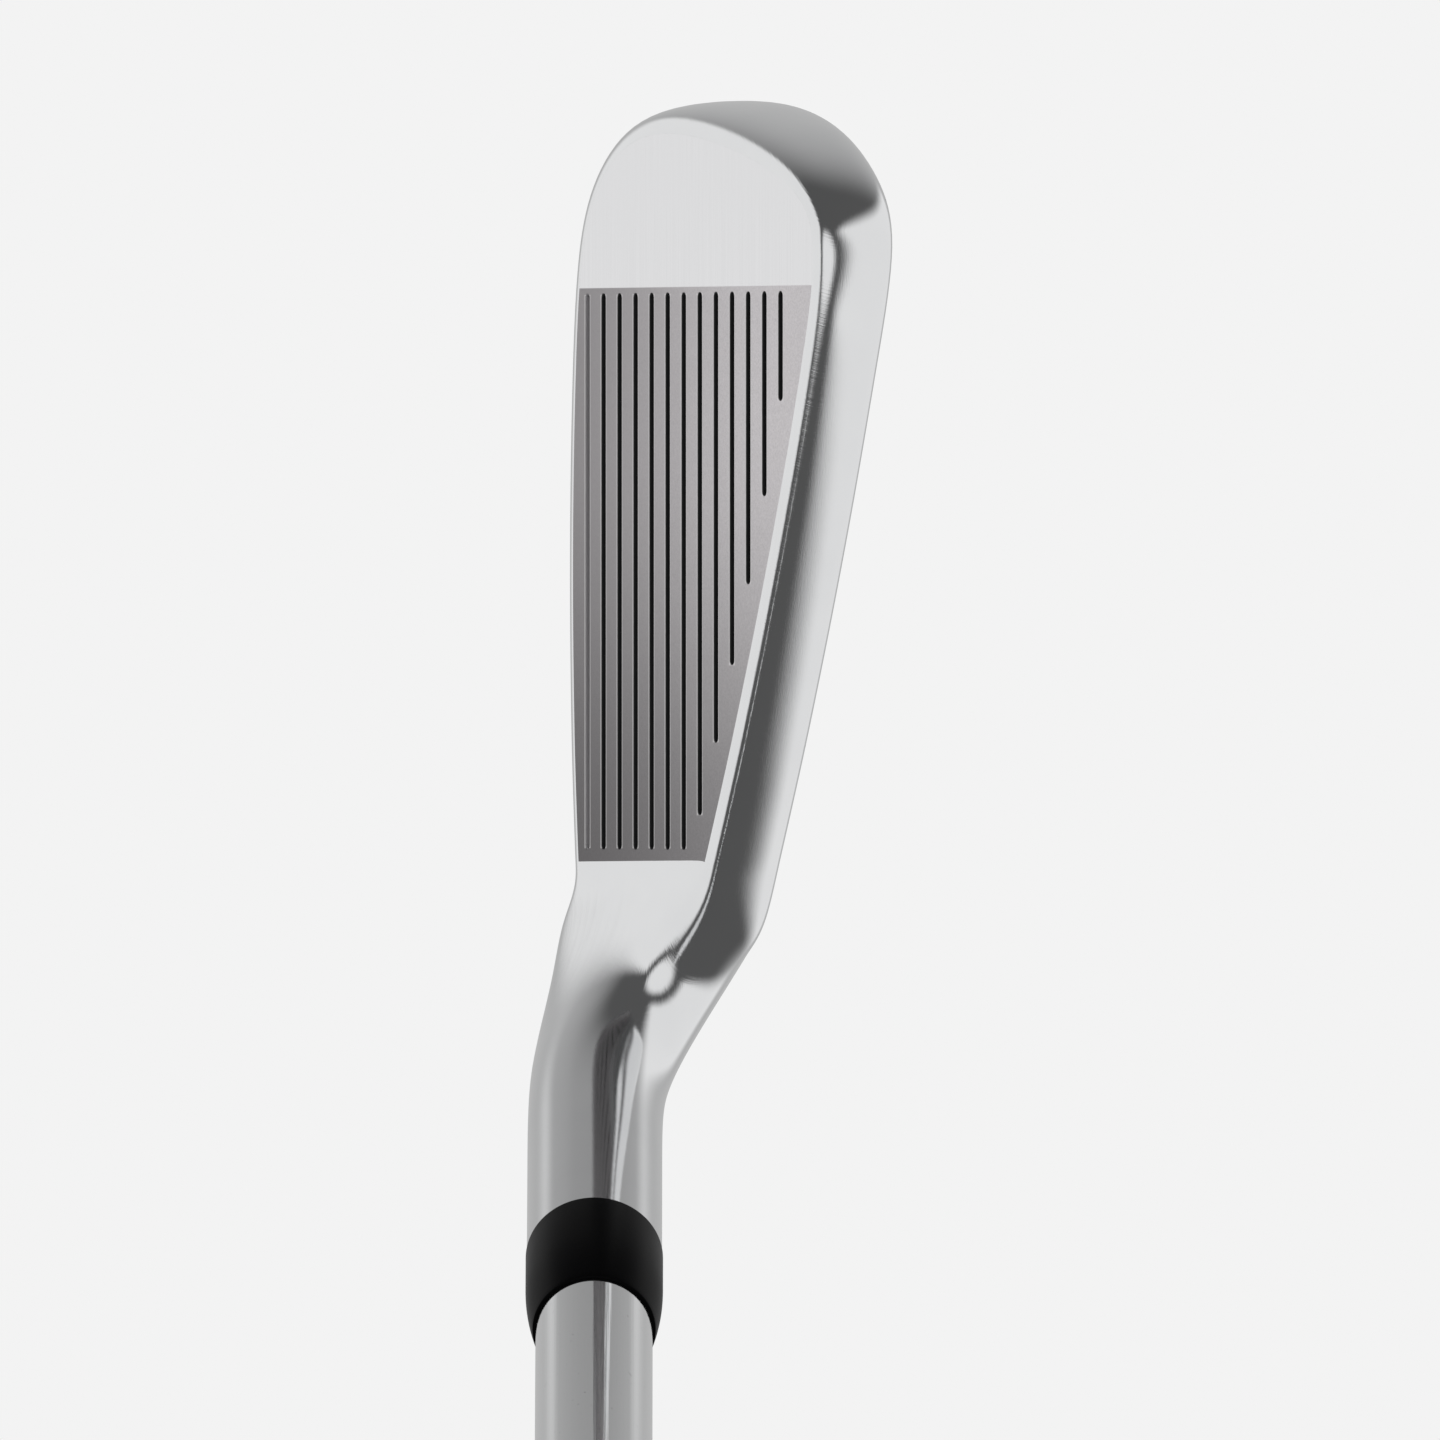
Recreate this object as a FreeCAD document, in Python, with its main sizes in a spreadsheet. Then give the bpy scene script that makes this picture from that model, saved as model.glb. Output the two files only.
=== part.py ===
"""Iron golf club for a right-handed player: a cavity-back steel head, a stepped steel shaft and a
rubber grip. Millimetres, +Z up. The origin is where the shaft's axis meets the ground, +X points from
toe to heel and -Y is the side that the face looks to."""

import FreeCAD, Part
import math
import os

import Sketcher
from FreeCAD import Placement, Rotation, Vector

DIMENSIONS = {
    # the way the head sits at address
    "lie_angle": 62.5,
    "loft_angle": 27,
    "face_foot_y": -2.25,
    "face_foot_z": 5.21,
    # the face plane: distances toe-ward from the shaft axis and up from the leading edge
    "sole_centre": 37,
    "sole_half_span": 28.5,
    "sole_camber": 1.3,
    "plate_heel": 8.6,
    "topline_heel_height": 28.6,
    "topline_rise": 0.417,
    "topline_bow": 1.4,
    "plate_thickness": 2.2,
    "cavity_floor": 4.6,
    "toe_depth": 14.8,
    "depth_taper": 0.16,
    # score lines
    "groove_pitch": 3.474,
    "groove_width": 0.86,
    "groove_depth": 0.42,
    "groove_chamfer": 0.1,
    "groove_first": 3.24,
    "groove_toe_end": 64.4,
    "groove_heel_end": 9.9,
    "groove_edge_gap": 3.4,
    # hosel and what it holds
    "hosel_radius": 6.6,
    "hosel_top": 64.7,
    "bore_radius": 4.8,
    "bore_floor": 30,
    "ferrule_radius": 6.7,
    "ferrule_straight": 7,
    "ferrule_length": 15,
    "ferrule_lip": 0.3,
    # shaft
    "tip_radius": 4.7,
    "tip_end": 30.5,
    "tip_wall": 1.2,
    "shaft_radius": 5.7,
    "shaft_wall": 0.42,
    "shoulder": 77,
    "first_step": 215,
    "step_pitch": 44,
    "step_rise": 0.19,
    "step_ramp": 1.5,
    "shaft_end": 945,
    "tip_weight_length": 18,
    # grip
    "club_length": 952.5,
    "grip_start": 685,
    "tape_thickness": 0.15,
    "grip_mouth_radius": 8.7,
    "grip_butt_radius": 12.9,
    "cap_radius": 14.2,
    "cap_flare": 1.5,
    "cap_round": 2.4,
    "mouth_round": 0.6,
    "tape_inset": 4,
    "vent_radius": 1.6,
    # weight port, damping pad and badge in the head
    "weight_reach": 61,
    "weight_height": 8,
    "weight_radius": 3,
    "weight_front": 8,
    "weight_back": 14.4,
    "plug_radius": 3.4,
    "plug_back": 16.9,
    "socket_radius": 2,
    "socket_depth": 1.6,
    "pad_heel": 20,
    "pad_toe": 58,
    "pad_bottom": 8,
    "pad_top": 18,
    "pad_thickness": 1.3,
    "adhesive_thickness": 0.3,
    "carrier_thickness": 1.1,
    "badge_thickness": 0.7,
    "badge_gap": 1.2,
    "badge_step": 1.6,
}
SHAFT_STEPS = 10
FERRULE_SPANS = 4
GROOVES = 13

doc = FreeCAD.newDocument("iron_club")
sheet = doc.addObject("Spreadsheet::Sheet", "dims")
for row, (alias, value) in enumerate(DIMENSIONS.items(), 1):
    sheet.set(f"A{row}", alias)
    sheet.set(f"B{row}", str(value))
    sheet.setAlias(f"B{row}", alias)
doc.recompute()


def size(alias):
    """A driving dimension, as a number."""
    return float(sheet.get(alias))


LIE = math.radians(size("lie_angle"))
LOFT = math.radians(size("loft_angle"))
SHAFT_AXIS = Vector(math.cos(LIE), 0, math.sin(LIE))
CROTCH = Vector(-math.sin(LIE), 0, math.cos(LIE))  # square to the shaft, towards the toe
FRONT = Vector(0, -1, 0)

# The face frame: x towards the toe, y up the face, z into the head.
FACE_FRAME = Placement(
    Vector(0, size("face_foot_y"), size("face_foot_z")),
    Rotation(
        Vector(-1, 0, 0),
        Vector(0, math.sin(LOFT), math.cos(LOFT)),
        Vector(0, math.cos(LOFT), -math.sin(LOFT)),
        "XYZ",
    ),
)
SHAFT_FRAME = Placement(Vector(0, 0, 0), Rotation(Vector(0, 1, 0), 90 - size("lie_angle")))

# ---------------------------------------------------------------- the head's control cage
# Each profile runs over the head's rim, from the face, round the edge, to the cavity's floor, as
# (out from the face plate's edge, back from the face plane). All profiles have the same points in
# the same order. The first three and the last three are flat, so that the plate and the floor are.
FLOOR = size("cavity_floor")
TOPLINE = [
    (-0.45, 0), (0, 0), (0.45, 0), (1.25, 0.2), (1.8, 1.3), (1.95, 3.6), (1.8, 6.0), (1.1, 8.0),
    (-1.6, 8.7), (-4.6, 8.4), (-5.4, 6.6), (-5.8, FLOOR), (-7.0, FLOOR), (-8.2, FLOOR),
]
TOE = [
    (-0.6, 0), (0, 0), (0.6, 0), (1.6, 0.3), (2.5, 1.5), (3.1, 4.0), (3.4, 8.2), (3.1, 13.0),
    (0.9, 15.2), (-4.6, 15.0), (-7.6, 11.5), (-8.7, FLOOR), (-9.9, FLOOR), (-11.1, FLOOR),
]
SOLE = [
    (-0.4, 0), (0, 0), (0.4, 0), (1.6, 0.3), (2.9, 2.2), (2.4, 5.7), (0.7, 10.7), (-2.4, 15.8),
    (-6.2, 19.0), (-11.2, 17.4), (-15.6, 13.7), (-11.7, FLOOR), (-13.2, FLOOR), (-14.7, FLOOR),
]
ROWS = len(SOLE)
EDGE = 1  # the row whose limit is the face plate's edge
RIM = 8  # the last row before the cavity
FLOOR_EDGE = ROWS - 2  # the row whose limit is the edge of the cavity's flat floor
ACROSS = 4  # spans across the face, from the leading edge to the topline

COLUMNS = [6.4, 8.6, 10.8, 16.6, 21.5, 33, 46, 58]  # toe-ward stations shared by sole and topline
PLATE_COLUMN = 1
CAVITY_COLUMN = 3  # the first column on the cavity's floor
FLAT_COLUMN = 4  # from here to the toe the floor is flat
CAVITY_START = COLUMNS[FLAT_COLUMN]
LOWER_TOE = [(66.5, 1.5), (73.6, 3.5)]  # the leading edge as it turns up into the toe
TOE_POINTS = [(79.3, 10.4), (80.6, 21.0), (78.6, 35.1)]
UPPER_TOE = [(69.7, 53.3), (74.7, 48.5)]  # the topline as it turns down into the toe
HOSEL_RINGS = [75.0, 64.7, 54.4, 44.0, 36.0]  # distances up the shaft axis
NECK_RINGS = 4
NECK_LEAVE = 1.5  # how far the hosel's straightness reaches into the bend, as a share of the chord
NECK_ARRIVE = 0.5  # the same for the blade's
NECK_SIDE = 0.1  # how much more of the hosel's the front has, and of the blade's the back
NECK_CROTCH = 0.5  # the same for the side towards the toe
NECK_HOLD = 0.6  # how much longer the topline keeps its direction
FRONT_BULGE = 3.7  # how far the front of the neck swells out
BACK_BULGE = 14  # the same for its back
BACK_DIP = 0.42  # the share of the bend up to which the back is drawn in instead
HEEL_SLANT = 2.5  # how much further the topline's back runs towards the heel
DOWN_TOPLINE = Vector(-1, -size("topline_rise"), 0)
NECK_PASSES = (2, 5, 6, 1)  # how often each ring of the neck is relaxed
HEEL_NARROWING = 0.12  # how much narrower the sole is at the heel
# Where each line of the cage runs on the hosel, in degrees from the toe side towards the front.
SOLE_ANGLES = [104, 112, 120, 129, 140, 153, 167, 181, 194, 205, 215, 224, 232, 240]
TOPLINE_ANGLES = [24, 16, 7, -3, -15, -29, -45, -60, -72, -81, -88, -94, -99, -104]


def leading_edge(reach):
    """Height of the leading edge in the face plane."""
    span = (reach - size("sole_centre")) / size("sole_half_span")
    return size("sole_camber") * span**2


def topline(reach):
    """Height of the face plate's upper edge in the face plane."""
    span = (reach - size("sole_centre")) / size("sole_half_span")
    rise = size("topline_rise") * (reach - size("plate_heel"))
    return size("topline_heel_height") + rise + size("topline_bow") * (1 - span**2)


def blend(first, second, share):
    """A profile between two others."""
    return [
        (a[0] + (b[0] - a[0]) * share, a[1] + (b[1] - a[1]) * share)
        for a, b in zip(first, second)
    ]


def sole_profile(reach):
    """The sole's rim, which is narrower towards the heel."""
    short = max(0, CAVITY_START - reach) / (CAVITY_START - COLUMNS[0])
    scale = 1 - HEEL_NARROWING * short
    return [
        (out, depth * scale if EDGE + 3 < row <= RIM + 2 else depth)
        for row, (out, depth) in enumerate(SOLE)
    ]


def toe_profile(height):
    """The toe's rim, which is shallower the higher it is on the face."""
    reached = size("toe_depth") + size("depth_taper") * (TOE_POINTS[1][1] - height)
    scale = reached / size("toe_depth")
    return [
        (out, depth * scale if EDGE + 3 < row <= RIM + 2 else depth)
        for row, (out, depth) in enumerate(TOE)
    ]


def rim_line(before, here, after, profile):
    """The cage's points over the rim at one station of the outline."""
    along = Vector(after[0] - before[0], after[1] - before[1], 0).normalize()
    outward = Vector(along.y, -along.x, 0)
    start = Vector(here[0], here[1], 0)
    return [start + outward * out + Vector(0, 0, depth) for out, depth in profile]


def head_outline():
    """The stations round the face, from the heel along the sole, round the toe and back."""
    lower = [(reach, leading_edge(reach)) for reach in COLUMNS] + LOWER_TOE
    upper = [(reach, topline(reach)) for reach in COLUMNS] + UPPER_TOE
    return lower + TOE_POINTS + upper[::-1]


def station_profiles():
    """One rim profile per station of the outline."""
    turning = [blend(SOLE, toe_profile(0), 0.2), blend(SOLE, toe_profile(2), 0.6)]
    sole = [sole_profile(reach) for reach in COLUMNS] + turning
    toe = [toe_profile(height) for _, height in TOE_POINTS]
    corner = blend(toe_profile(UPPER_TOE[1][1]), TOPLINE, 0.5)
    top = [corner, blend(corner, TOPLINE, 0.6)] + [TOPLINE] * len(COLUMNS)
    return sole + toe + top


def solid_heel(lower, upper):
    """Closes the cavity at the heel: the rows behind the rim run straight from sole to topline."""
    spans = 2 * (ROWS - 1 - RIM) + ACROSS
    step = (upper[RIM] - lower[RIM]) * (1 / spans)
    for row in range(RIM + 1, ROWS):
        lower[row] = lower[RIM] + step * (row - RIM)
        upper[row] = upper[RIM] - step * (row - RIM)


def slanted(line):
    """A topline rim whose back is shifted down along the topline, towards the heel."""
    shares = [min(max(row - EDGE - 1, 0), RIM - EDGE - 1) / (RIM - EDGE - 1) for row in range(ROWS)]
    return [point + DOWN_TOPLINE * HEEL_SLANT * share for point, share in zip(line, shares)]


def ring_of(lower, upper):
    """A closed ring of the cage: sole, back, topline and face."""
    back = [lower[-1] + (upper[-1] - lower[-1]) * (i / ACROSS) for i in range(1, ACROSS)]
    face = [upper[0] + (lower[0] - upper[0]) * (i / ACROSS) for i in range(1, ACROSS)]
    return lower + back + upper[::-1] + face


def hosel_ring(distance):
    """A ring of the cage on the hosel, whose limit is the hosel's circle."""
    back = [
        SOLE_ANGLES[-1] + (TOPLINE_ANGLES[-1] + 360 - SOLE_ANGLES[-1]) * i / ACROSS
        for i in range(1, ACROSS)
    ]
    face = [
        TOPLINE_ANGLES[0] + (SOLE_ANGLES[0] - TOPLINE_ANGLES[0]) * i / ACROSS
        for i in range(1, ACROSS)
    ]
    angles = SOLE_ANGLES + back + TOPLINE_ANGLES[::-1] + face
    ring = []
    for i, angle in enumerate(angles):
        before = math.radians(angle - angles[i - 1])
        after = math.radians(angles[(i + 1) % len(angles)] - angle)
        radius = size("hosel_radius") * 6 / (4 + math.cos(before) + math.cos(after))
        turn = math.radians(angle)
        spoke = CROTCH * math.cos(turn) + FRONT * math.sin(turn)
        ring.append(SHAFT_AXIS * distance + spoke * radius)
    return ring


def relaxed(ring, passes):
    """The ring with its points drawn to the middle of their neighbours, which rounds its corners."""
    for _ in range(passes):
        ring = [
            point * 0.5 + (ring[i - 1] + ring[(i + 1) % len(ring)]) * 0.25
            for i, point in enumerate(ring)
        ]
    return ring


def neck_rings(hosel, heel, beyond):
    """Rings that bend from the hosel into the heel, each line of the cage on a Hermite curve."""
    rings = []
    for i in range(1, NECK_RINGS + 1):
        t = i / (NECK_RINGS + 1)
        front_bulge = FRONT_BULGE * t * (1 - t) * (1 + 2 * t)
        back_bulge = BACK_BULGE * t * (1 - t) * (t - BACK_DIP)
        ring = []
        for start, end, after in zip(hosel, heel, beyond):
            reach = start.distanceToPoint(end)
            side = -start.y / size("hosel_radius")
            crotch = start.dot(CROTCH) / size("hosel_radius")
            leave = SHAFT_AXIS * -reach * (NECK_LEAVE + NECK_SIDE * side + NECK_CROTCH * crotch)
            hold = NECK_ARRIVE - NECK_SIDE * side + NECK_HOLD * max(crotch, 0)
            arrive = (after - end).normalize() * reach * hold
            ring.append(
                start * (2 * t**3 - 3 * t**2 + 1)
                + leave * (t**3 - 2 * t**2 + t)
                + end * (3 * t**2 - 2 * t**3)
                + arrive * (t**3 - t**2)
                + FRONT * (front_bulge if side > 0 else back_bulge) * side
            )
        rings.append(relaxed(ring, NECK_PASSES[i - 1]))
    return rings


def head_cage():
    """The rings from hosel to toe, and the rim lines from the lower corner round to the upper."""
    outline = head_outline()
    padded = [outline[0]] + outline + [outline[-1]]
    lines = [
        rim_line(padded[i], padded[i + 1], padded[i + 2], profile)
        for i, profile in enumerate(station_profiles())
    ]
    columns = len(COLUMNS) + len(LOWER_TOE)
    lower = lines[:columns]
    upper = lines[: -columns - 1 : -1]
    upper[0][:] = slanted(upper[0])
    for column in range(CAVITY_COLUMN):
        solid_heel(lower[column], upper[column])
    lines = [[FACE_FRAME.multVec(point) for point in line] for line in lines]
    lower = lines[:columns]
    upper = lines[: -columns - 1 : -1]
    blade = [ring_of(low, up) for low, up in zip(lower, upper)]
    hosel = [hosel_ring(distance) for distance in HOSEL_RINGS]
    rings = hosel + neck_rings(hosel[-1], blade[0], blade[1]) + blade
    return rings, lines


def patch(grid):
    """The smooth surface over a grid of cage points: a uniform cubic B-spline in both directions."""
    surface = Part.BSplineSurface()
    counts = (len(grid), len(grid[0]))
    knots = [list(range(-3, count + 1)) for count in counts]
    mults = [[1] * len(k) for k in knots]
    surface.buildFromPolesMultsKnots(
        grid, mults[0], mults[1], knots[0], knots[1], False, False, 3, 3
    )
    surface.segment(0, counts[0] - 3, 0, counts[1] - 3)
    return surface


def ring_patch(rings, first_ring, last_ring, first, last):
    """The patch between two rings of the cage and two places round them."""
    around = [i % len(rings[0]) for i in range(first - 1, last + 2)]
    return patch([[ring[i] for i in around] for ring in rings[first_ring - 1 : last_ring + 2]])


def edge_at(surface, side):
    """One border of a patch, as an edge."""
    u0, u1, v0, v1 = surface.bounds()
    curves = {
        "start": lambda: surface.uIso(u0),
        "end": lambda: surface.uIso(u1),
        "low": lambda: surface.vIso(v0),
        "high": lambda: surface.vIso(v1),
    }
    return curves[side]().toShape()


def flat_face(edges):
    """A plane face inside a loop of edges."""
    return Part.Face(Part.Wire(Part.__sortEdges__(edges)))


def head_skin():
    """The head's outer surface as a solid, and the flat face that the plate covers."""
    rings, lines = head_cage()
    around = len(rings[0])
    columns = len(COLUMNS) + len(LOWER_TOE)
    first_column = len(rings) - columns
    plate = first_column + PLATE_COLUMN
    flat = first_column + FLAT_COLUMN
    upper_floor = ROWS + ACROSS - 1 + (ROWS - 1 - FLOOR_EDGE)
    upper_edge = around - ACROSS - EDGE
    spans = {
        "sole": (EDGE, FLOOR_EDGE),
        "back": (FLOOR_EDGE, upper_floor),
        "top": (upper_floor, upper_edge),
        "face": (upper_edge, around + EDGE),
    }
    neck = {name: ring_patch(rings, 1, plate, *span) for name, span in spans.items()}
    heel = {
        name: ring_patch(rings, plate, flat, *spans[name]) for name in ("sole", "back", "top")
    }
    round_toe = lines[FLAT_COLUMN - 1 : len(lines) - FLAT_COLUMN + 1]
    rim = patch(round_toe)
    front = flat_face(
        [edge_at(neck["face"], "end"), edge_at(heel["sole"], "low"), edge_at(rim, "low")]
        + [edge_at(heel["top"], "high")]
    )
    floor = flat_face([edge_at(heel["back"], "end"), edge_at(rim, "high")])
    top = flat_face([edge_at(surface, "start") for surface in neck.values()])
    surfaces = list(neck.values()) + list(heel.values()) + [rim]
    shell = Part.makeShell([surface.toShape() for surface in surfaces] + [front, floor, top])
    shell.sewShape()
    return Part.makeSolid(shell), front


# ---------------------------------------------------------------- ways to make a sub-part
def feature(kind, name, **properties):
    """A document object with its label and properties."""
    made = doc.addObject(kind, name)
    made.Label = name
    for key, value in properties.items():
        setattr(made, key, value)
    return made


def bound(made, **expressions):
    """Binds an object's properties to the sheet."""
    for key, expression in expressions.items():
        made.setExpression(key, expression)
    return made


def section(body, plane, corners):
    """A closed outline of straight sides on one of a body's own planes. Each corner is a pair of
    expressions on the sheet, measured from the plane's origin."""
    sketch = body.newObject("Sketcher::SketchObject", body.Name + "_section")
    planes = {origin.Role: origin for origin in body.Origin.OriginFeatures}
    sketch.AttachmentSupport = [(planes[plane], "")]
    sketch.MapMode = "FlatFace"
    points = [Vector(*[sketch.evalExpression(text) for text in corner], 0) for corner in corners]
    count = len(points)
    for i, point in enumerate(points):
        sketch.addGeometry(Part.LineSegment(point, points[(i + 1) % count]), False)
    for i in range(count):
        sketch.addConstraint(Sketcher.Constraint("Coincident", i, 2, (i + 1) % count, 1))
    for i, point in enumerate(points):
        for axis, value, expression in zip("XY", point, corners[i]):
            if value == 0:
                on_axis = -2 if axis == "X" else -1
                sketch.addConstraint(Sketcher.Constraint("PointOnObject", i, 1, on_axis))
                continue
            held = sketch.addConstraint(
                Sketcher.Constraint("Distance" + axis, -1, 1, i, 1, value)
            )
            sketch.renameConstraint(held, f"corner_{i}_{axis.lower()}")
            sketch.setExpression(f"Constraints.corner_{i}_{axis.lower()}", expression)
    return sketch


def turned(name, corners):
    """A piece turned about the shaft's axis. corners are (radius, distance up the shaft)."""
    body = feature("PartDesign::Body", name, Placement=SHAFT_FRAME)
    sketch = section(body, "XZ_Plane", corners)
    turn = body.newObject("PartDesign::Revolution", name + "_turn")
    turn.Profile = sketch
    turn.ReferenceAxis = (sketch, ["V_Axis"])
    turn.Angle = 360
    doc.recompute()
    return body


def rounded(body, radius, distances):
    """Rounds a turned piece's outer edges at the given distances up the shaft."""
    base = body.Tip
    names = []
    for distance in distances:
        level = body.evalExpression(distance)
        circles = [
            (edge.Curve.Radius, f"Edge{i}")
            for i, edge in enumerate(base.Shape.Edges, 1)
            if isinstance(edge.Curve, Part.Circle) and abs(edge.Curve.Center.z - level) < 1e-6
        ]
        names.append(max(circles)[1])
    fillet = body.newObject("PartDesign::Fillet", body.Name + "_round")
    fillet.Base = (base, names)
    fillet.setExpression("Radius", radius)
    doc.recompute()
    return body


def in_face_frame(toe_ward, up, back):
    """A placement in the face frame."""
    return FACE_FRAME.multiply(Placement(Vector(toe_ward, up, back), Rotation()))


# ---------------------------------------------------------------- pieces on the shaft's axis
SHOULDER = "dims.shoulder"
HOSEL_TOP = "dims.hosel_top"
TIP = "dims.tip_radius"
BORE = "dims.bore_radius"
SHAFT = "dims.shaft_radius"
TIP_INSIDE = "dims.tip_radius - dims.tip_wall"
BUTT = f"dims.shaft_radius + {SHAFT_STEPS} * dims.step_rise"
TAPE = f"{BUTT} + dims.tape_thickness"


def make_shaft():
    """The stepped tube: a slim tip in the hosel, a shoulder, then steps up to the butt."""
    outside = [(TIP, "dims.tip_end"), (TIP, SHOULDER), (SHAFT, SHOULDER)]
    inside = [(TIP_INSIDE, "dims.tip_end"), (TIP_INSIDE, SHOULDER)]
    inside.append((f"{SHAFT} - dims.shaft_wall", f"{SHOULDER} + dims.step_ramp * 2"))
    for step in range(SHAFT_STEPS):
        foot = f"dims.first_step + {step} * dims.step_pitch"
        for radius, level in (
            (f"{SHAFT} + {step} * dims.step_rise", foot),
            (f"{SHAFT} + {step + 1} * dims.step_rise", f"{foot} + dims.step_ramp"),
        ):
            outside.append((radius, level))
            inside.append((f"{radius} - dims.shaft_wall", level))
    outside.append((BUTT, "dims.shaft_end"))
    inside.append((f"{BUTT} - dims.shaft_wall", "dims.shaft_end"))
    return turned("shaft", outside + inside[::-1])


def make_tip_weight():
    """The swing-weight plug pressed into the shaft's tip."""
    end = "dims.tip_end + dims.tip_weight_length"
    return turned(
        "tip_weight", [("0", "dims.tip_end"), (TIP_INSIDE, "dims.tip_end"), (TIP_INSIDE, end), ("0", end)]
    )


def make_hosel_epoxy():
    """The glue line between the shaft's tip and the hosel's bore."""
    return turned(
        "hosel_epoxy", [(TIP, "dims.tip_end"), (BORE, "dims.tip_end"), (BORE, HOSEL_TOP), (TIP, HOSEL_TOP)]
    )


def make_ferrule():
    """The black collar that covers the shaft's shoulder: straight, then bowed in to a thin lip."""
    straight = f"{HOSEL_TOP} + dims.ferrule_straight"
    taper = "(dims.ferrule_length - dims.ferrule_straight)"
    lip = f"({SHAFT} + dims.ferrule_lip)"
    outline = [(TIP, HOSEL_TOP), ("dims.ferrule_radius", HOSEL_TOP)]
    for i in range(FERRULE_SPANS + 1):
        share = i / FERRULE_SPANS
        radius = f"{lip} + (dims.ferrule_radius - {lip}) * {1 - share**2}"
        outline.append((radius, f"{straight} + {taper} * {share}"))
    outline.append((SHAFT, f"{HOSEL_TOP} + dims.ferrule_length"))
    return turned("ferrule", outline + [(SHAFT, SHOULDER), (TIP, SHOULDER)])


def make_grip_tape():
    """The double-sided tape under the grip."""
    start = "dims.grip_start + dims.tape_inset"
    end = "dims.shaft_end"
    return turned("grip_tape", [(BUTT, start), (TAPE, start), (TAPE, end), (BUTT, end)])


def make_grip_sleeve():
    """The rubber sleeve, thin at its mouth and thick at the butt."""
    start = "dims.grip_start"
    taped = f"{start} + dims.tape_inset"
    body = turned(
        "grip_sleeve",
        [
            (BUTT, start),
            ("dims.grip_mouth_radius", start),
            ("dims.grip_butt_radius", "dims.shaft_end"),
            (TAPE, "dims.shaft_end"),
            (TAPE, taped),
            (BUTT, taped),
        ],
    )
    return rounded(body, "dims.mouth_round", [start])


def make_grip_cap():
    """The cap on the butt, with the vent hole that lets air out as the grip slides on."""
    base = "dims.shaft_end"
    end = "dims.club_length"
    body = turned(
        "grip_cap",
        [
            ("dims.vent_radius", base),
            ("dims.grip_butt_radius", base),
            ("dims.cap_radius", f"{base} + dims.cap_flare"),
            ("dims.cap_radius", end),
            ("dims.vent_radius", end),
        ],
    )
    return rounded(body, "dims.cap_round", [end])


# ---------------------------------------------------------------- pieces of the head
def score_line(low, toe_end, heel_end):
    """One groove in the face frame: a round-ended slot with a small chamfer at its mouth."""

    def slot(half, depth):
        """The slot's outline at a depth."""
        ends = [
            Part.Arc(
                Vector(reach, low + half * side, depth),
                Vector(reach + half * side, low, depth),
                Vector(reach, low - half * side, depth),
            ).toShape()
            for reach, side in ((toe_end - width / 2, 1), (heel_end + width / 2, -1))
        ]
        sides = [
            Part.LineSegment(ends[0].Vertexes[-1].Point, ends[1].Vertexes[0].Point).toShape(),
            Part.LineSegment(ends[1].Vertexes[-1].Point, ends[0].Vertexes[0].Point).toShape(),
        ]
        return Part.Wire([ends[0], sides[0], ends[1], sides[1]])

    width = size("groove_width")
    chamfer = size("groove_chamfer")
    mouth = Part.makeLoft([slot(width / 2 + chamfer, 0), slot(width / 2, chamfer)], True, True)
    walls = Part.Face(slot(width / 2, chamfer)).extrude(Vector(0, 0, size("groove_depth") - chamfer))
    return mouth.fuse(walls)


def score_lines():
    """All the grooves. The upper ones end where they near the topline."""
    lines = []
    for i in range(GROOVES):
        low = size("groove_first") + i * size("groove_pitch")
        heel_end = size("groove_heel_end")
        while topline(heel_end) - low < size("groove_edge_gap"):
            heel_end += 0.1
        lines.append(score_line(low, size("groove_toe_end"), heel_end))
    return Part.makeCompound(lines).transformed(FACE_FRAME.toMatrix())


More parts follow.
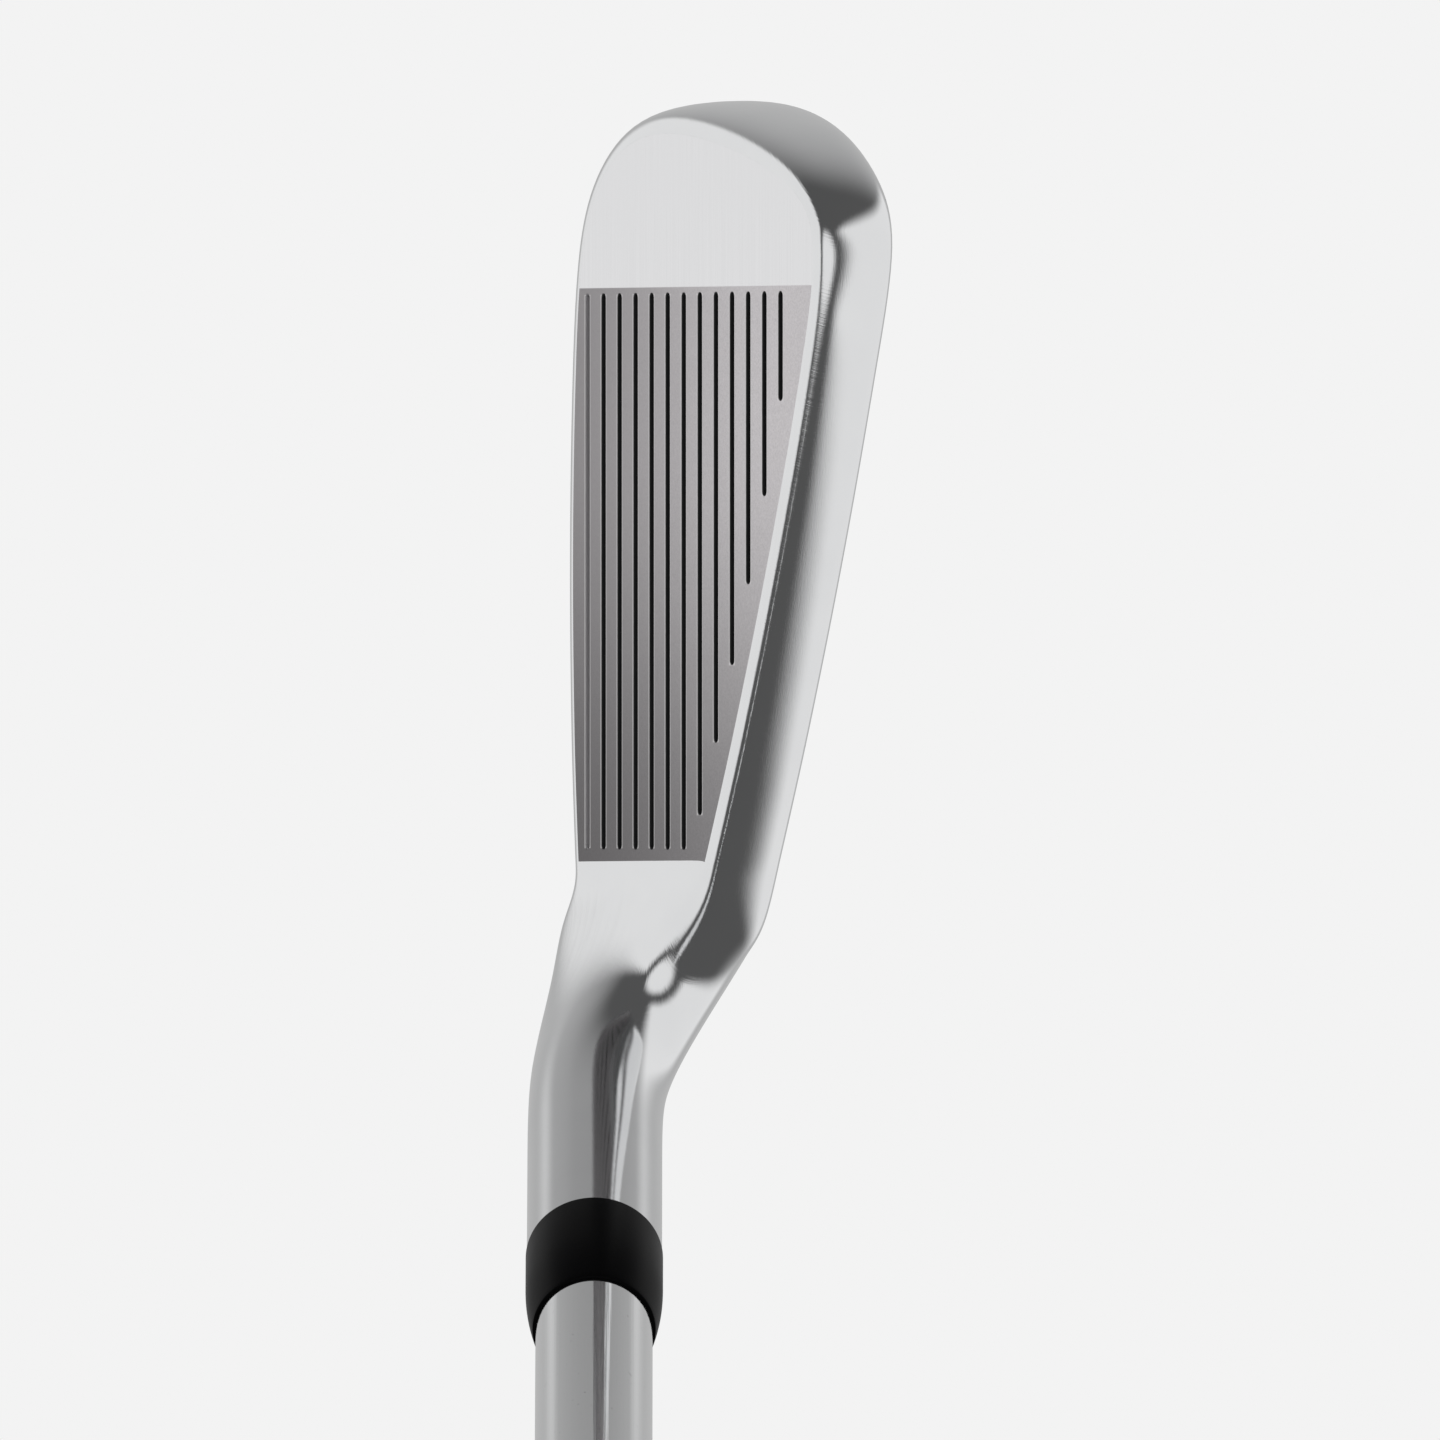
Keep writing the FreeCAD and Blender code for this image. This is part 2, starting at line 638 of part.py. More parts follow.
def make_head(skin, front):
    """The head body with its bore, weight port and pockets, and what fills them."""
    back = FACE_FRAME.Rotation.multVec(Vector(0, 0, 1))
    blank = feature("Part::Feature", "plate_blank", Shape=front.extrude(back * size("plate_thickness")))
    grooves = feature("Part::Feature", "score_lines", Shape=score_lines())
    feature("Part::Cut", "face_plate", Base=blank, Tool=grooves)

    pad = feature(
        "PartDesign::Body", "damping_pad", Placement=in_face_frame(0, 0, size("plate_thickness"))
    )
    outline = [("pad_heel", "pad_bottom"), ("pad_toe", "pad_bottom"), ("pad_toe", "pad_top")]
    outline.append(("pad_heel", "pad_top"))
    sketch = section(pad, "XY_Plane", [(f"dims.{x}", f"dims.{y}") for x, y in outline])
    thick = pad.newObject("PartDesign::Pad", "damping_pad_body")
    thick.Profile = sketch
    thick.setExpression("Length", "dims.pad_thickness")

    port = (size("weight_reach"), size("weight_height"))
    weight = feature(
        "Part::Cylinder", "toe_weight", Placement=in_face_frame(*port, size("weight_front"))
    )
    bound(weight, Radius="dims.weight_radius", Height="dims.weight_back - dims.weight_front")
    mouth = feature(
        "Part::Cylinder", "weight_port", Placement=in_face_frame(*port, size("weight_back"))
    )
    bound(mouth, Radius="dims.plug_radius", Height="dims.plug_back")
    blank_plug = feature(
        "Part::Cylinder", "plug_blank", Placement=in_face_frame(*port, size("weight_back"))
    )
    bound(blank_plug, Radius="dims.plug_radius", Height="dims.plug_back - dims.weight_back")
    socket = feature(
        "Part::Prism",
        "plug_socket",
        Polygon=6,
        Placement=in_face_frame(*port, size("plug_back") - size("socket_depth")),
    )
    bound(socket, Circumradius="dims.socket_radius", Height="dims.socket_depth * 2")
    feature("Part::Cut", "toe_weight_plug", Base=blank_plug, Tool=socket)

    bore = feature("Part::Cylinder", "hosel_bore")
    bore.Placement = SHAFT_FRAME.multiply(Placement(Vector(0, 0, size("bore_floor")), Rotation()))
    bound(bore, Radius="dims.bore_radius", Height="dims.hosel_top")
    body = feature("Part::Feature", "head_skin", Shape=skin)
    hollows = feature("Part::Compound", "head_hollows", Links=[blank, pad, weight, mouth, bore])
    feature("Part::Cut", "head_body", Base=body, Tool=hollows)


def cavity_outline(inset):
    """A face on the cavity's floor, set in from the floor's edge, in the face frame."""
    outline = head_outline()
    profiles = station_profiles()
    poles = []
    for i in range(FLAT_COLUMN, len(outline) - FLAT_COLUMN):
        edge = profiles[i][FLOOR_EDGE]
        poles += rim_line(outline[i - 1], outline[i], outline[i + 1], [edge])
    centre = sum(poles, Vector()) * (1 / len(poles))
    poles = [pole - (pole - centre).normalize() * inset for pole in poles]
    curve = Part.BSplineCurve()
    curve.buildFromPoles(poles)
    heel = Part.LineSegment(poles[-1], poles[0])
    return Part.Face(Part.Wire([curve.toShape(), heel.toShape()]))


def make_badge():
    """The badge in the cavity: adhesive, a soft carrier and a metal plate, one on the other."""
    level = 0
    for name, inset, thickness in (
        ("badge_adhesive", size("badge_gap"), size("adhesive_thickness")),
        ("badge_carrier", size("badge_gap"), size("carrier_thickness")),
        ("badge_plate", size("badge_gap") + size("badge_step"), size("badge_thickness")),
    ):
        piece = cavity_outline(inset).extrude(Vector(0, 0, thickness))
        feature("Part::Feature", name, Shape=piece, Placement=in_face_frame(0, 0, level))
        level += thickness


# ---------------------------------------------------------------- the club
NODES = [
    "head_body", "face_plate", "damping_pad", "toe_weight", "toe_weight_plug",
    "badge_adhesive", "badge_carrier", "badge_plate", "hosel_epoxy", "tip_weight",
    "ferrule", "shaft", "grip_tape", "grip_sleeve", "grip_cap",
]

make_head(*head_skin())
make_badge()
make_shaft()
make_tip_weight()
make_hosel_epoxy()
make_ferrule()
make_grip_tape()
make_grip_sleeve()
make_grip_cap()
doc.recompute()

for made in doc.Objects:
    if {"Invalid", "Error"} & set(made.State):
        raise RuntimeError(f"{made.Label} failed: {made.State}")
pieces = {name: doc.getObjectsByLabel(name)[0].Shape for name in NODES}
for name, shape in pieces.items():
    if shape.isNull() or not shape.isValid():
        raise RuntimeError(f"{name} has no valid shape")
    if len(shape.Solids) != 1:
        raise RuntimeError(f"{name} has {len(shape.Solids)} solids")
os.makedirs("parts", exist_ok=True)
for name, shape in pieces.items():
    shape.exportStep(f"parts/{name}.step")
    print(f"{name:16s} {shape.Volume:9.1f} mm3")
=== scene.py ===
import math

import bmesh
import bpy
from mathutils import Matrix, Vector


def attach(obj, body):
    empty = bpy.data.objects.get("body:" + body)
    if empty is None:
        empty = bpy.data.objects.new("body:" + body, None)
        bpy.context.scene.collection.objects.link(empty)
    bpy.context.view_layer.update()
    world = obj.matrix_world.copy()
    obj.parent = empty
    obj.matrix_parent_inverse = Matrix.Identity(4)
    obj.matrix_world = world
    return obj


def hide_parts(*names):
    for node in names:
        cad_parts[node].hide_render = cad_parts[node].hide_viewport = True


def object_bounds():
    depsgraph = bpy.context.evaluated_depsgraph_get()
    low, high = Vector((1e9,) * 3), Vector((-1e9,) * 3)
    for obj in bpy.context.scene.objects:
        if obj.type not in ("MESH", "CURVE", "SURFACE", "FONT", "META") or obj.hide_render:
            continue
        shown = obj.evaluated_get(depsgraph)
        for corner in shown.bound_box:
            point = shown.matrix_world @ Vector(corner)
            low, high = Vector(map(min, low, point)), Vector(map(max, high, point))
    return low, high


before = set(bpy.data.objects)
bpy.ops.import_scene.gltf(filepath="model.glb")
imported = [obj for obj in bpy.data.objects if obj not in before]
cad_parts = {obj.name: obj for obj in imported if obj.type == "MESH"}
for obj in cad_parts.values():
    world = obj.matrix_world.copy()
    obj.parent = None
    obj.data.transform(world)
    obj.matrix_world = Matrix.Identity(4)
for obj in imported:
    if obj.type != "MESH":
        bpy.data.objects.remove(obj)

START_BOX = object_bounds()
MM = 0.001

# ---------------------------------------------------------------- frames of the design
LIE = math.radians(62.5)
LOFT = math.radians(27)
SHAFT_AXIS = Vector((math.cos(LIE), 0, math.sin(LIE)))
CROTCH = Vector((-math.sin(LIE), 0, math.cos(LIE)))  # square to the shaft, towards the toe
FRONT = Vector((0, -1, 0))
FACE_FOOT = Vector((0, -2.25, 5.21))
TOE_WARD = Vector((-1, 0, 0))
UP_FACE = Vector((0, math.sin(LOFT), math.cos(LOFT)))
INTO_HEAD = Vector((0, math.cos(LOFT), -math.sin(LOFT)))


def face_point(reach, height, depth):
    """A point given toe-ward, up the face and into the head, in millimetres in the row frame."""
    return FACE_FOOT + TOE_WARD * reach + UP_FACE * height + INTO_HEAD * depth


# ---------------------------------------------------------------- the head's control cage
FLOOR = 4.6
TOPLINE = [
    (-0.45, 0), (0, 0), (0.45, 0), (1.25, 0.2), (1.8, 1.3), (1.95, 3.6), (1.8, 6.0), (1.1, 8.0),
    (-1.6, 8.7), (-4.6, 8.4), (-5.4, 6.6), (-5.8, FLOOR), (-7.0, FLOOR), (-8.2, FLOOR),
]
TOE = [
    (-0.6, 0), (0, 0), (0.6, 0), (1.6, 0.3), (2.5, 1.5), (3.1, 4.0), (3.4, 8.2), (3.1, 13.0),
    (0.9, 15.2), (-4.6, 15.0), (-7.6, 11.5), (-8.7, FLOOR), (-9.9, FLOOR), (-11.1, FLOOR),
]
SOLE = [
    (-0.4, 0), (0, 0), (0.4, 0), (1.6, 0.3), (2.9, 2.2), (2.4, 5.7), (0.7, 10.7), (-2.4, 15.8),
    (-6.2, 19.0), (-11.2, 17.4), (-15.6, 13.7), (-11.7, FLOOR), (-13.2, FLOOR), (-14.7, FLOOR),
]
ROWS = len(SOLE)
EDGE = 1  # the row whose limit is the face plate's edge
RIM = 8  # the last row before the cavity
ACROSS = 4  # spans across the face, from the leading edge to the topline
COLUMNS = [6.4, 8.6, 10.8, 16.6, 21.5, 33, 46, 58]
PLATE_COLUMN = 1
CAVITY_COLUMN = 3
CAVITY_START = COLUMNS[4]
LOWER_TOE = [(66.5, 1.5), (73.6, 3.5)]
TOE_POINTS = [(79.3, 10.4), (80.6, 21.0), (78.6, 35.1)]
UPPER_TOE = [(69.7, 53.3), (74.7, 48.5)]
HOSEL_RINGS = [64.7, 54.4, 44.0, 36.0]  # distances up the shaft axis
HOSEL_RADIUS = 6.6
NECK_RINGS = 4
NECK_LEAVE = 1.5
NECK_ARRIVE = 0.5
NECK_SIDE = 0.1
NECK_CROTCH = 0.5
NECK_HOLD = 0.6
FRONT_BULGE = 3.7
BACK_BULGE = 14
BACK_DIP = 0.42
HEEL_SLANT = 2.5
NECK_PASSES = (2, 5, 6, 1)
HEEL_NARROWING = 0.12
SOLE_ANGLES = [104, 112, 120, 129, 140, 153, 167, 181, 194, 205, 215, 224, 232, 240]
TOPLINE_ANGLES = [24, 16, 7, -3, -15, -29, -45, -60, -72, -81, -88, -94, -99, -104]
SOLE_CENTRE = 37
SOLE_HALF_SPAN = 28.5
SOLE_CAMBER = 1.3
PLATE_HEEL = 8.6
TOPLINE_HEEL_HEIGHT = 28.6
TOPLINE_RISE = 0.417
TOPLINE_BOW = 1.4
DOWN_TOPLINE = Vector((-1, -TOPLINE_RISE, 0))
TOE_DEPTH = 14.8
DEPTH_TAPER = 0.16
PLATE_THICKNESS = 2.2
BORE_RADIUS = 4.8
BORE_FLOOR = 30
PORT = (61, 8)  # the weight port: toe-ward and up the face
PORT_RADIUS = 3.4
PORT_FLOOR = 14.4
PORT_MOUTH = 24
GROOVE_FIRST = 3.24
GROOVE_PITCH = 3.474
GROOVE_GAP = 3.4
GROOVE_HALF = 0.53
GROOVES = 13
GROOVE_ENDS = (9.9, 64.4)
BLASTED_ENDS = (8.63, 65.0)  # the borders of the sandblasted part of the face


def leading_edge(reach):
    """Height of the leading edge in the face plane."""
    return SOLE_CAMBER * ((reach - SOLE_CENTRE) / SOLE_HALF_SPAN) ** 2


def topline(reach):
    """Height of the face plate's upper edge in the face plane."""
    bow = TOPLINE_BOW * (1 - ((reach - SOLE_CENTRE) / SOLE_HALF_SPAN) ** 2)
    return TOPLINE_HEEL_HEIGHT + TOPLINE_RISE * (reach - PLATE_HEEL) + bow


def between(first, second, share):
    """A profile between two others."""
    return [
        (a[0] + (b[0] - a[0]) * share, a[1] + (b[1] - a[1]) * share)
        for a, b in zip(first, second)
    ]


def deepened(profile, scale):
    """A profile whose outer rows reach deeper or less deep into the head."""
    return [
        (out, depth * scale if EDGE + 3 < row <= RIM + 2 else depth)
        for row, (out, depth) in enumerate(profile)
    ]


def sole_profile(reach):
    """The sole's rim, which is narrower towards the heel."""
    short = max(0, CAVITY_START - reach) / (CAVITY_START - COLUMNS[0])
    return deepened(SOLE, 1 - HEEL_NARROWING * short)


def toe_profile(height):
    """The toe's rim, which is shallower the higher it is on the face."""
    return deepened(TOE, 1 + DEPTH_TAPER * (TOE_POINTS[1][1] - height) / TOE_DEPTH)


def rim_line(before, here, after, profile):
    """The cage's points over the rim at one station of the outline."""
    along = Vector((after[0] - before[0], after[1] - before[1])).normalized()
    outward = Vector((along.y, -along.x))
    return [Vector((here[0] + outward.x * out, here[1] + outward.y * out, depth)) for out, depth in profile]


def rim_lines():
    """The rim at every station: along the sole, round the toe and back along the topline."""
    lower = [(reach, leading_edge(reach)) for reach in COLUMNS] + LOWER_TOE
    upper = [(reach, topline(reach)) for reach in COLUMNS] + UPPER_TOE
    outline = lower + TOE_POINTS + upper[::-1]
    turning = [between(SOLE, toe_profile(0), 0.2), between(SOLE, toe_profile(2), 0.6)]
    corner = between(toe_profile(UPPER_TOE[1][1]), TOPLINE, 0.5)
    profiles = [sole_profile(reach) for reach in COLUMNS] + turning
    profiles += [toe_profile(height) for _, height in TOE_POINTS]
    profiles += [corner, between(corner, TOPLINE, 0.6)] + [TOPLINE] * len(COLUMNS)
    padded = [outline[0]] + outline + [outline[-1]]
    return [
        rim_line(padded[i], padded[i + 1], padded[i + 2], profile)
        for i, profile in enumerate(profiles)
    ]


def solid_heel(lower, upper):
    """Closes the cavity at the heel: the rows behind the rim run straight from sole to topline."""
    step = (upper[RIM] - lower[RIM]) / (2 * (ROWS - 1 - RIM) + ACROSS)
    for row in range(RIM + 1, ROWS):
        lower[row] = lower[RIM] + step * (row - RIM)
        upper[row] = upper[RIM] - step * (row - RIM)


def slanted(line):
    """A topline rim whose back is shifted down along the topline, towards the heel."""
    shares = [min(max(row - EDGE - 1, 0), RIM - EDGE - 1) / (RIM - EDGE - 1) for row in range(ROWS)]
    return [point + DOWN_TOPLINE * HEEL_SLANT * share for point, share in zip(line, shares)]


def ring_of(lower, upper):
    """A closed ring of the cage: sole, back, topline and face."""
    back = [lower[-1].lerp(upper[-1], i / ACROSS) for i in range(1, ACROSS)]
    face = [upper[0].lerp(lower[0], i / ACROSS) for i in range(1, ACROSS)]
    return lower + back + upper[::-1] + face


def hosel_ring(distance, limit_radius):
    """A ring of the cage round the shaft's axis, whose limit is a circle."""
    back_turn = TOPLINE_ANGLES[-1] + 360 - SOLE_ANGLES[-1]
    back = [SOLE_ANGLES[-1] + back_turn * i / ACROSS for i in range(1, ACROSS)]
    face_turn = SOLE_ANGLES[0] - TOPLINE_ANGLES[0]
    face = [TOPLINE_ANGLES[0] + face_turn * i / ACROSS for i in range(1, ACROSS)]
    angles = SOLE_ANGLES + back + TOPLINE_ANGLES[::-1] + face
    ring = []
    for i, angle in enumerate(angles):
        before = math.radians(angle - angles[i - 1])
        after = math.radians(angles[(i + 1) % len(angles)] - angle)
        radius = limit_radius * 6 / (4 + math.cos(before) + math.cos(after))
        turn = math.radians(angle)
        spoke = CROTCH * math.cos(turn) + FRONT * math.sin(turn)
        ring.append(SHAFT_AXIS * distance + spoke * radius)
    return ring


def relaxed(ring, passes):
    """The ring with its points drawn to the middle of their neighbours, which rounds its corners."""
    for _ in range(passes):
        ring = [
            point * 0.5 + (ring[i - 1] + ring[(i + 1) % len(ring)]) * 0.25
            for i, point in enumerate(ring)
        ]
    return ring


def neck_rings(hosel, heel, beyond):
    """Rings that bend from the hosel into the heel, each line of the cage on a Hermite curve."""
    rings = []
    for i in range(1, NECK_RINGS + 1):
        t = i / (NECK_RINGS + 1)
        front_bulge = FRONT_BULGE * t * (1 - t) * (1 + 2 * t)
        back_bulge = BACK_BULGE * t * (1 - t) * (t - BACK_DIP)
        ring = []
        for start, end, after in zip(hosel, heel, beyond):
            reach = (start - end).length
            side = -start.y / HOSEL_RADIUS
            crotch = start.dot(CROTCH) / HOSEL_RADIUS
            leave = SHAFT_AXIS * -reach * (NECK_LEAVE + NECK_SIDE * side + NECK_CROTCH * crotch)
            hold = NECK_ARRIVE - NECK_SIDE * side + NECK_HOLD * max(crotch, 0)
            arrive = (after - end).normalized() * reach * hold
            ring.append(
                start * (2 * t**3 - 3 * t**2 + 1)
                + leave * (t**3 - 2 * t**2 + t)
                + end * (3 * t**2 - 2 * t**3)
                + arrive * (t**3 - t**2)
                + FRONT * (front_bulge if side > 0 else back_bulge) * side
            )
        rings.append(relaxed(ring, NECK_PASSES[i - 1]))
    return rings


# ---------------------------------------------------------------- making pieces
def finish_mesh(name, bm, sharp_angle=30):
    """Turns a bmesh into a smooth-shaded object whose edges past an angle stay sharp."""
    bmesh.ops.recalc_face_normals(bm, faces=bm.faces)
    limit = math.radians(sharp_angle)
    for edge in bm.edges:
        edge.smooth = len(edge.link_faces) == 2 and edge.calc_face_angle(0) < limit
    for face in bm.faces:
        face.smooth = True
    mesh = bpy.data.meshes.new(name)
    bm.to_mesh(mesh)
    bm.free()
    made = bpy.data.objects.new(name, mesh)
    bpy.context.scene.collection.objects.link(made)
    return made


def wear(obj, material, slot, *nodes):
    """Gives a piece its material, attaches it to the root body and hides the CAD nodes that it stands for;
    the slot is not used.
    """
    obj.data.materials.clear()
    obj.data.materials.append(material)
    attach(obj, "root")
    if nodes:
        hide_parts(*nodes)
    return obj


def head_mesh():
    """The head's skin as a subdivision cage, with the plate's pocket and the bore."""
    lines = rim_lines()
    columns = len(COLUMNS) + len(LOWER_TOE)
    lower = lines[:columns]
    upper = lines[: -columns - 1 : -1]
    upper[0][:] = slanted(upper[0])
    for column in range(CAVITY_COLUMN):
        solid_heel(lower[column], upper[column])
    lines = [[face_point(*point) for point in line] for line in lines]
    blade = [ring_of(low, up) for low, up in zip(lines[:columns], lines[: -columns - 1 : -1])]
    hosel = [hosel_ring(distance, HOSEL_RADIUS) for distance in HOSEL_RINGS]
    rings = hosel + neck_rings(hosel[-1], blade[0], blade[1]) + blade
    around = len(rings[0])
    top_row = around - ACROSS
    upper_edge = top_row - EDGE
    plate = len(hosel) + NECK_RINGS + PLATE_COLUMN
    last = len(rings) - 1
    toe = lines[columns : columns + len(TOE_POINTS)]
    for i, line in enumerate(toe):
        rings[last][ROWS + i] = line[-1]

    bm = bmesh.new()
    crease = bm.edges.layers.float.new("crease_edge")
    corner = bm.verts.layers.float.new("crease_vert")
    vert = {}
    for r, ring in enumerate(rings):
        for i, point in enumerate(ring):
            if r <= plate or EDGE <= i <= upper_edge:
                vert[r, i] = bm.verts.new(point * MM)
    for t, line in enumerate(toe):
        for row in range(EDGE, ROWS - 1):
            vert["toe", t, row] = bm.verts.new(line[row] * MM)
        vert["toe", t, ROWS - 1] = vert[last, ROWS + t]

    for r in range(last):
        for i in range(around):
            j = (i + 1) % around
            if r < plate or EDGE <= i < upper_edge:
                bm.faces.new([vert[r, i], vert[r, j], vert[r + 1, j], vert[r + 1, i]])
    stations = [[vert[last, row] for row in range(EDGE, ROWS)]]
    stations += [[vert["toe", t, row] for row in range(EDGE, ROWS)] for t in range(len(toe))]
    stations += [[vert[last, top_row - row] for row in range(EDGE, ROWS)]]
    for here, after in zip(stations, stations[1:]):
        for row in range(len(here) - 1):
            bm.faces.new([here[row], after[row], after[row + 1], here[row + 1]])

    def wall(loop, offset):
        """Steps a loop of vertices by an offset, with sharp edges on both ends."""
        moved = [bm.verts.new(v.co + offset) for v in loop]
        for i in range(len(loop)):
            j = (i + 1) % len(loop)
            bm.faces.new([loop[i], loop[j], moved[j], moved[i]])
        for ends in (loop, moved):
            for i in range(len(loop)):
                bm.edges.get([ends[i], ends[(i + 1) % len(loop)]])[crease] = 1
        return moved

    heel_line = [EDGE] + list(range(EDGE - 1, -1, -1)) + list(range(around - 1, upper_edge - 1, -1))
    loop = [vert[plate, i] for i in heel_line]
    loop += [vert[r, upper_edge] for r in range(plate + 1, last + 1)]
    loop += [vert["toe", t, EDGE] for t in reversed(range(len(toe)))]
    loop += [vert[r, EDGE] for r in range(last, plate, -1)]
    floor = wall(loop, INTO_HEAD * PLATE_THICKNESS * MM)
    bm.faces.new(floor)
    for ends in (loop, floor):
        for i in (0, len(heel_line) - 1):
            ends[i][corner] = 1

    rim = [vert[0, i] for i in range(around)]
    mouth = [bm.verts.new(point * MM) for point in hosel_ring(HOSEL_RINGS[0], BORE_RADIUS)]
    for i in range(around):
        j = (i + 1) % around
        bm.faces.new([rim[i], rim[j], mouth[j], mouth[i]])
        bm.edges.get([rim[i], rim[j]])[crease] = 1
    bm.faces.new(wall(mouth, SHAFT_AXIS * (BORE_FLOOR - HOSEL_RINGS[0]) * MM))
    return bm


def evaluated(obj, name):
    """The object's mesh with its modifiers applied, as a bmesh; the object goes."""
    depsgraph = bpy.context.evaluated_depsgraph_get()
    bm = bmesh.new()
    bm.from_mesh(obj.evaluated_get(depsgraph).to_mesh())
    obj.evaluated_get(depsgraph).to_mesh_clear()
    bpy.data.objects.remove(obj)
    return bm


def make_head_skin(levels=3):
    """The subdivided skin with the weight port cut in its back."""
    cage = finish_mesh("head_cage", head_mesh())
    smooth = cage.modifiers.new("smooth", "SUBSURF")
    smooth.levels = smooth.render_levels = levels
    cutter_bm = bmesh.new()
    centre = face_point(*PORT, (PORT_FLOOR + PORT_MOUTH) / 2) * MM
    turn = INTO_HEAD.to_track_quat("Z", "Y").to_matrix().to_4x4()
    bmesh.ops.create_cone(
        cutter_bm, cap_ends=True, segments=96, radius1=PORT_RADIUS * MM, radius2=PORT_RADIUS * MM,
        depth=(PORT_MOUTH - PORT_FLOOR) * MM, matrix=Matrix.Translation(centre) @ turn,
    )
    cutter = finish_mesh("port_cutter", cutter_bm)
    cut = cage.modifiers.new("port", "BOOLEAN")
    cut.object = cutter
    cut.solver = "EXACT"
    bpy.context.view_layer.update()
    bm = evaluated(cage, "head")
    bpy.data.objects.remove(cutter)
    return finish_mesh("head_skin", bm)


def rounded_outline(corners, spans=4):
    """An outline whose corners (radius, distance, rounding) are replaced by short arcs."""
    outline = []
    count = len(corners)
    for i, (radius, distance, rounding) in enumerate(corners):
        here = Vector((radius, distance))
        if not rounding:
            outline.append(here)
            continue
        before = (Vector(corners[i - 1][:2]) - here).normalized()
        after = (Vector(corners[(i + 1) % count][:2]) - here).normalized()
        half = before.angle(after) / 2
        reach = rounding / math.tan(half)
        centre = here + (before + after).normalized() * rounding / math.sin(half)
        first = here + before * reach - centre
        final = here + after * reach - centre
        for k in range(spans + 1):
            spoke = first.lerp(final, k / spans).normalized()
            outline.append(centre + spoke * rounding)
    return outline


def lathe(name, outline, segments=128):
    """A piece turned about the shaft's axis from a closed outline of (radius, distance)."""
    bm = bmesh.new()
    rings = []
    for radius, distance in outline:
        middle = SHAFT_AXIS * distance
        if radius < 1e-6:
            rings.append([bm.verts.new(middle * MM)] * segments)
            continue
        ring = []
        for k in range(segments):
            angle = 2 * math.pi * k / segments
            spoke = CROTCH * math.cos(angle) + FRONT * math.sin(angle)
            ring.append(bm.verts.new((middle + spoke * radius) * MM))
        rings.append(ring)
    for i, ring in enumerate(rings):
        after = rings[(i + 1) % len(rings)]
        for k in range(segments):
            j = (k + 1) % segments
            quad = list(dict.fromkeys([ring[k], ring[j], after[j], after[k]]))
            if len(quad) > 2:
                bm.faces.new(quad)
    return finish_mesh(name, bm)


# ---------------------------------------------------------------- material arithmetic
class Value:
    """A node socket that can be used in arithmetic."""

    def __init__(self, net, socket):
        self.net = net
        self.socket = socket

    def _with(self, operation, *others):
        node = self.net.node("ShaderNodeMath", operation=operation)
        for i, item in enumerate((self,) + others):
            self.net.feed(node.inputs[i], item)
        return Value(self.net, node.outputs[0])

    def __add__(self, other):
        return self._with("ADD", other)

    def __sub__(self, other):
        return self._with("SUBTRACT", other)

    def __mul__(self, other):
        return self._with("MULTIPLY", other)

    def __truediv__(self, other):
        return self._with("DIVIDE", other)

    __radd__ = __add__
    __rmul__ = __mul__

    def lower(self, other):
        return self._with("MINIMUM", other)

    def root(self):
        return self._with("SQRT")

    def nearest(self):
        return self._with("ROUND")

    def wave(self, pitch):
        """Distance from the nearest multiple of a pitch."""
        return self._with("PINGPONG", pitch / 2)

    def degrees_over(self, other):
        """The angle whose tangent is this over another."""
        return self._with("ARCTAN2", other) * (180 / math.pi)

    def rise(self, low, high):
        """0 below low, 1 above high, smooth between. High may be below low."""
        node = self.net.node("ShaderNodeMapRange", interpolation_type="SMOOTHSTEP")
        self.net.feed(node.inputs["Value"], self)
        if low > high:
            low, high = high, low
            node.inputs["To Min"].default_value = 1
            node.inputs["To Max"].default_value = 0
        node.inputs["From Min"].default_value = low
        node.inputs["From Max"].default_value = high
        return Value(self.net, node.outputs["Result"])


class Net:
    """A node tree under construction."""

    def __init__(self, tree):
        self.tree = tree
        tree.nodes.clear()

    def node(self, kind, **properties):
        made = self.tree.nodes.new(kind)
        for key, value in properties.items():
            setattr(made, key, value)
        return made

    def feed(self, socket, item):
        """Links a value to an input, or writes a number or a colour in it."""
        if isinstance(item, Value):
            self.tree.links.new(item.socket, socket)
        else:
            socket.default_value = item

    def split(self, socket):
        """The three parts of a vector."""
        node = self.node("ShaderNodeSeparateXYZ")
        self.tree.links.new(socket, node.inputs[0])
        return [Value(self, out) for out in node.outputs]

    def vector(self, x, y, z):
        node = self.node("ShaderNodeCombineXYZ")
        for socket, item in zip(node.inputs, (x, y, z)):
            self.feed(socket, item)
        return Value(self, node.outputs[0])

    def place(self):
        """The point's place in the row frame, in millimetres: the vector and its parts."""
        node = self.node("ShaderNodeTexCoord")
        scale = self.node("ShaderNodeVectorMath", operation="SCALE")
        scale.inputs["Scale"].default_value = 1 / MM
        self.tree.links.new(node.outputs["Object"], scale.inputs[0])
        vector = Value(self, scale.outputs[0])
        return vector, self.split(vector.socket)

    def noise(self, vector, scale, detail=2.0, roughness=0.5):
        node = self.node("ShaderNodeTexNoise")
        self.feed(node.inputs["Vector"], vector)
        node.inputs["Scale"].default_value = scale
        node.inputs["Detail"].default_value = detail
        node.inputs["Roughness"].default_value = roughness
        return Value(self, node.outputs["Fac"])

    def mix(self, share, first, second):
        """A colour between two others."""
        node = self.node("ShaderNodeMix", data_type="RGBA")
        self.feed(node.inputs[0], share)
        for index, item in ((6, first), (7, second)):
            self.feed(node.inputs[index], (*item, 1) if isinstance(item, tuple) else item)
        return Value(self, node.outputs[2])

    def bump(self, height, distance, strength=1.0):
        node = self.node("ShaderNodeBump")
        node.inputs["Strength"].default_value = strength
        node.inputs["Distance"].default_value = distance
        self.feed(node.inputs["Height"], height)
        return Value(self, node.outputs["Normal"])


